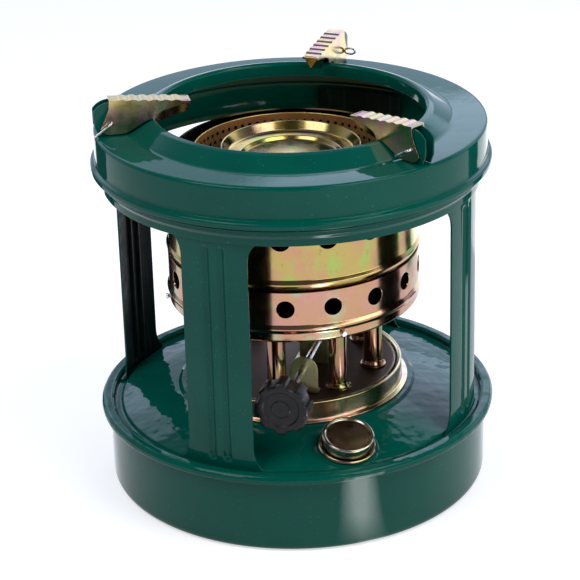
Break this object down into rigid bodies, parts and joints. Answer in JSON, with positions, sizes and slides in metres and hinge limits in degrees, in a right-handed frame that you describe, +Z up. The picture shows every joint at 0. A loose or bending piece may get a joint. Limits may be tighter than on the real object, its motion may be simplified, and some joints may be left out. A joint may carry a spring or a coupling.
{
  "type": "kerosene wick stove",
  "caption": "Round portable kerosene stove with fuel tank, wick burner, lift-off drum, knob and folding pot supports.",
  "frame": {"origin": "centre of the tank's flat base", "axes": "+Z up; -Y towards the front window, where the knob and the filler cap are; +X to the right of it"},
  "size_m": [0.2276, 0.2276, 0.2342],
  "materials": {
    "green_enamel": "gloss",
    "zinc_plate": "yellow passivated zinc",
    "bright_steel": "bright",
    "brass": "satin",
    "black_plastic": "satin",
    "black_rubber": "matt",
    "cotton_wick": "matt"
  },
  "bodies": {
    "stove": {"tank_pan": "green_enamel", "tank_top": "green_enamel", "leg_1": "green_enamel", "leg_2": "green_enamel", "leg_3": "green_enamel", "leg_4": "green_enamel", "stand_band": "green_enamel", "hob_ring": "green_enamel", "support_lug_1": "green_enamel", "support_lug_2": "green_enamel", "support_lug_3": "green_enamel", "filler_neck": "zinc_plate", "burner_tray": "zinc_plate", "shaft_bearing_plate": "zinc_plate", "rack_guide": "zinc_plate", "gallery_plate": "zinc_plate", "wick_tube_1": "zinc_plate", "wick_tube_2": "zinc_plate", "wick_tube_3": "zinc_plate", "wick_tube_4": "zinc_plate", "wick_tube_5": "zinc_plate", "wick_tube_6": "zinc_plate", "wick_tube_7": "zinc_plate", "wick_tube_8": "zinc_plate", "split_pin_1": "bright_steel", "split_pin_2": "bright_steel", "split_pin_3": "bright_steel"},
    "drum": {"drum_lower_shell": "zinc_plate", "drum_upper_shell": "zinc_plate", "flame_tube_outer": "zinc_plate", "flame_tube_inner": "zinc_plate", "flame_spreader": "zinc_plate", "drum_pin_1": "bright_steel", "drum_pin_2": "bright_steel", "drum_pin_3": "bright_steel"},
    "knob": {"control_knob": "black_plastic", "knob_sleeve": "brass", "control_shaft": "bright_steel", "pinion": "brass", "shaft_clip": "bright_steel"},
    "wick_lifter": {"wick_carrier": "bright_steel", "rack_rod": "bright_steel", "wick_1": "cotton_wick", "wick_2": "cotton_wick", "wick_3": "cotton_wick", "wick_4": "cotton_wick", "wick_5": "cotton_wick", "wick_6": "cotton_wick", "wick_7": "cotton_wick", "wick_8": "cotton_wick"},
    "support_1": {"pot_support_1": "zinc_plate"},
    "support_2": {"pot_support_2": "zinc_plate"},
    "support_3": {"pot_support_3": "zinc_plate"},
    "cap_seal": {"cap_gasket": "black_rubber"},
    "cap": {"filler_cap": "zinc_plate"}
  },
  "joints": [
    {"name": "drum_lift", "type": "slide", "parent": "stove", "child": "drum", "axis": [0, 0, 1], "range_m": [0, 0.02]},
    {"name": "knob_turn", "type": "hinge", "parent": "stove", "child": "knob", "pos_m": [0.01265, -0.00896, 0.0815], "axis": [0.5779, 0.8161, 0], "range_deg": [0, 108]},
    {"name": "wick_lift", "type": "slide", "parent": "stove", "child": "wick_lifter", "axis": [0, 0, 1], "range_m": [0, 0.01178]},
    {"name": "support_1_fold", "type": "hinge", "parent": "stove", "child": "support_1", "pos_m": [0.03453, -0.09385, 0.2214], "axis": [0.9232, 0.3843, 0], "range_deg": [0, 112]},
    {"name": "support_2_fold", "type": "hinge", "parent": "stove", "child": "support_2", "pos_m": [0.06088, 0.07934, 0.2214], "axis": [-0.7373, 0.6756, 0], "range_deg": [0, 112]},
    {"name": "support_3_fold", "type": "hinge", "parent": "stove", "child": "support_3", "pos_m": [-0.09866, 0.01633, 0.2214], "axis": [-0.1633, -0.9866, 0], "range_deg": [0, 112]},
    {"name": "cap_screw", "type": "slide", "parent": "stove", "child": "cap_seal", "axis": [-0.0131, -0.25, 0.9681], "range_m": [0, 0.00601]},
    {"name": "cap_turn", "type": "hinge", "parent": "cap_seal", "child": "cap", "pos_m": [-0.00455, -0.08688, 0.051], "axis": [-0.0131, -0.25, 0.9681], "range_deg": [0, 720]}
  ],
  "couplings": [
    {"joint": "knob_turn", "follows": "wick_lift", "rad_per_m": 160},
    {"joint": "cap_screw", "follows": "cap_turn", "m_per_rad": 0.00047746}
  ]
}
